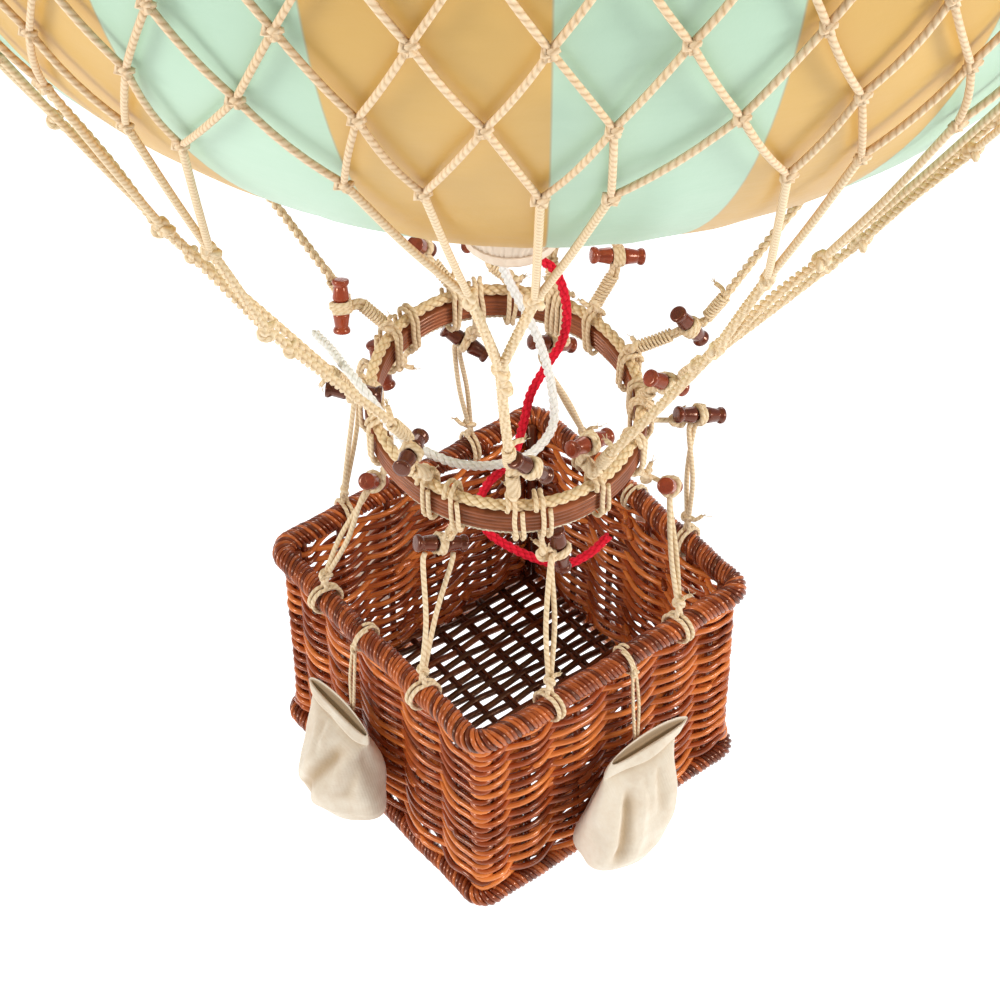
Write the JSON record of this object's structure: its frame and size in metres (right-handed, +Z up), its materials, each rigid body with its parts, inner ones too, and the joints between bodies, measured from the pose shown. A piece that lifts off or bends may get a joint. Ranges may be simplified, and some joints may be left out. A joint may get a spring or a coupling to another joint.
{
  "type": "hot air balloon",
  "caption": "Hanging decorative hot air balloon: striped paper envelope in a knotted cord net, load ring with wooden toggles, wicker basket with sandbags.",
  "frame": {"origin": "where a hook bears inside the brass hanging eye at the crown, on the envelope's axis", "axes": "+Z up along the envelope's axis; +X and +Y square to the basket's sides"},
  "size_m": [0.3196, 0.3196, 0.5632],
  "materials": {
    "paper": "satin paper in mint green and gold stripes",
    "cream": "plain cream cloth",
    "turned_wood": "dark red-brown lacquer",
    "brass": "satin",
    "cord": "twisted beige cotton",
    "rattan": "dark brown split rattan",
    "wicker": "lacquered orange-brown woven willow",
    "canvas": "plain cream canvas",
    "white_rope": "off-white twisted cotton",
    "red_rope": "red twisted cotton"
  },
  "bodies": {
    "balloon": {"envelope": "paper", "neck_cap": "cream", "crown_button": "turned_wood", "hanging_eye": "brass", "crown_rope": "cord", "ring_band": "rattan", "ring_top_rope": "cord", "ring_foot_rope": "cord", "upper_toggle_01": "turned_wood", "net_leg_01": "cord", "upper_toggle_02": "turned_wood", "net_leg_02": "cord", "upper_toggle_03": "turned_wood", "net_leg_03": "cord", "upper_toggle_04": "turned_wood", "net_leg_04": "cord", "upper_toggle_05": "turned_wood", "net_leg_05": "cord", "upper_toggle_06": "turned_wood", "net_leg_06": "cord", "upper_toggle_07": "turned_wood", "net_leg_07": "cord", "upper_toggle_08": "turned_wood", "net_leg_08": "cord", "upper_toggle_09": "turned_wood", "net_leg_09": "cord", "upper_toggle_10": "turned_wood", "net_leg_10": "cord", "upper_toggle_11": "turned_wood", "net_leg_11": "cord", "basket_rim": "wicker", "basket_foot_rail": "wicker", "basket_wall": "wicker", "basket_floor": "wicker", "lower_toggle_1": "turned_wood", "basket_line_1": "cord", "lower_toggle_2": "turned_wood", "basket_line_2": "cord", "lower_toggle_3": "turned_wood", "basket_line_3": "cord", "lower_toggle_4": "turned_wood", "basket_line_4": "cord", "lower_toggle_5": "turned_wood", "basket_line_5": "cord", "lower_toggle_6": "turned_wood", "basket_line_6": "cord", "lower_toggle_7": "turned_wood", "basket_line_7": "cord", "lower_toggle_8": "turned_wood", "basket_line_8": "cord", "valve_line": "white_rope", "rip_line": "red_rope"},
    "sandbag_front_hung": {"sandbag_front": "canvas", "sandbag_tie_front": "cord"},
    "sandbag_right_hung": {"sandbag_right": "canvas", "sandbag_tie_right": "cord"},
    "sandbag_back_hung": {"sandbag_back": "canvas", "sandbag_tie_back": "cord"},
    "sandbag_left_hung": {"sandbag_left": "canvas", "sandbag_tie_left": "cord"}
  },
  "joints": [
    {"name": "sandbag_front_swing", "type": "hinge", "parent": "balloon", "child": "sandbag_front_hung", "pos_m": [-0.0064, -0.0411, -0.4924], "axis": [-1, 0, 0], "range_deg": [0, 60]},
    {"name": "sandbag_right_swing", "type": "hinge", "parent": "balloon", "child": "sandbag_right_hung", "pos_m": [0.0399, 0.0052, -0.4924], "axis": [0, -1, 0], "range_deg": [0, 60]},
    {"name": "sandbag_back_swing", "type": "hinge", "parent": "balloon", "child": "sandbag_back_hung", "pos_m": [-0.0064, 0.0515, -0.4924], "axis": [1, 0, 0], "range_deg": [0, 60]},
    {"name": "sandbag_left_swing", "type": "hinge", "parent": "balloon", "child": "sandbag_left_hung", "pos_m": [-0.0527, 0.0052, -0.4924], "axis": [0, 1, 0], "range_deg": [0, 60]}
  ]
}
